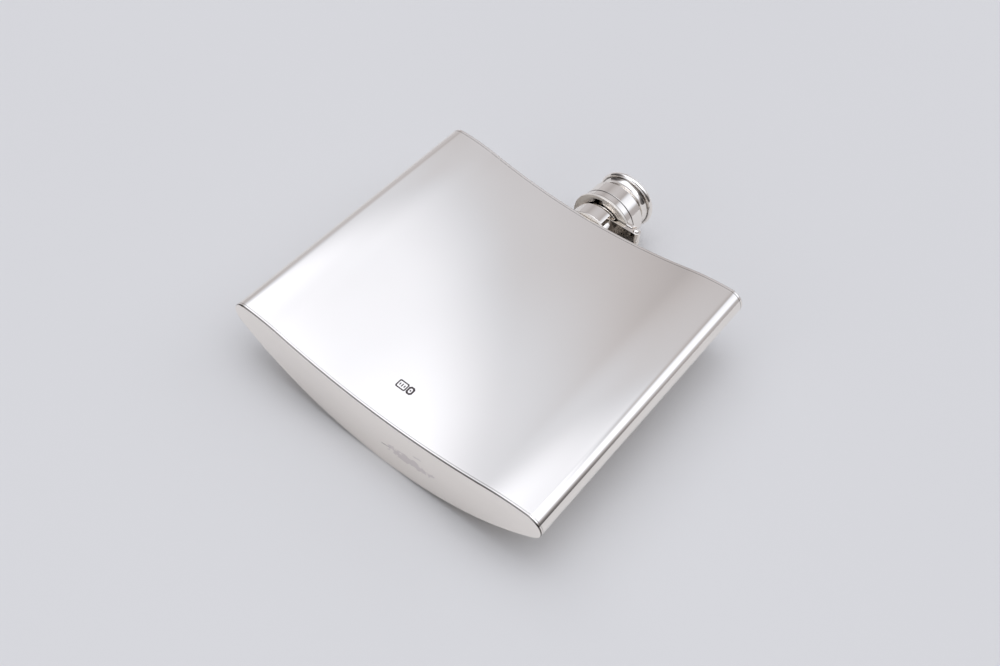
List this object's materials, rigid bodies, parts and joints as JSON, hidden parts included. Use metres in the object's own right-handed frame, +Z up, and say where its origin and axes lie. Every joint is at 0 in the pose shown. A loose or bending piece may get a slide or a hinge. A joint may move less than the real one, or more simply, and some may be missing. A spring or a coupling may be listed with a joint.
{
  "type": "hip flask",
  "caption": "Slim curved hip flask of polished silver sheet, with a hinged bayonet cap on a swivelling neck collar.",
  "frame": {"origin": "middle of the underside of the bounding box, with the flask lying on its convex face", "axes": "+X across the width towards the hinge, +Y from the base to the cap, +Z up through the thickness"},
  "size_m": [0.1, 0.1072, 0.0254],
  "materials": {
    "body_silver": "mirror polished silver with fine wipe marks",
    "plate_silver": "polished silver, a little softer than the faces",
    "neck_silver": "turned and polished silver",
    "cap_silver": "turned and polished silver, darker in the grooves",
    "hinge_silver": "polished silver, worn at the edges",
    "seal": "matt, food-grade"
  },
  "bodies": {
    "flask_body": {"body_wrap": "body_silver", "base_plate": "plate_silver", "shoulder_plate": "plate_silver", "neck_ferrule": "neck_silver", "neck_tube": "neck_silver", "bayonet_flange": "neck_silver", "bayonet_lugs": "neck_silver"},
    "collar": {"swivel_collar": "neck_silver", "collar_hinge_leaf": "hinge_silver", "hinge_pin": "hinge_silver"},
    "cap": {"cap_lock_ring": "cap_silver", "cap_hinge_leaf": "hinge_silver", "cap_skirt": "cap_silver", "cap_barrel": "cap_silver", "cap_rim_bead": "cap_silver", "cap_top_disc": "cap_silver", "seal_disc": "seal", "seal_backing_plate": "cap_silver", "seal_retaining_ring": "cap_silver"}
  },
  "joints": [
    {"name": "bayonet_twist", "type": "hinge", "parent": "flask_body", "child": "collar", "pos_m": [0, 0.03265, 0.0125], "axis": [0, -1, 0], "range_deg": [0, 60]},
    {"name": "cap_flip", "type": "hinge", "parent": "collar", "child": "cap", "pos_m": [0.0117, 0.0396, 0.0125], "axis": [0, 0, -1], "range_deg": [0, 120]}
  ]
}
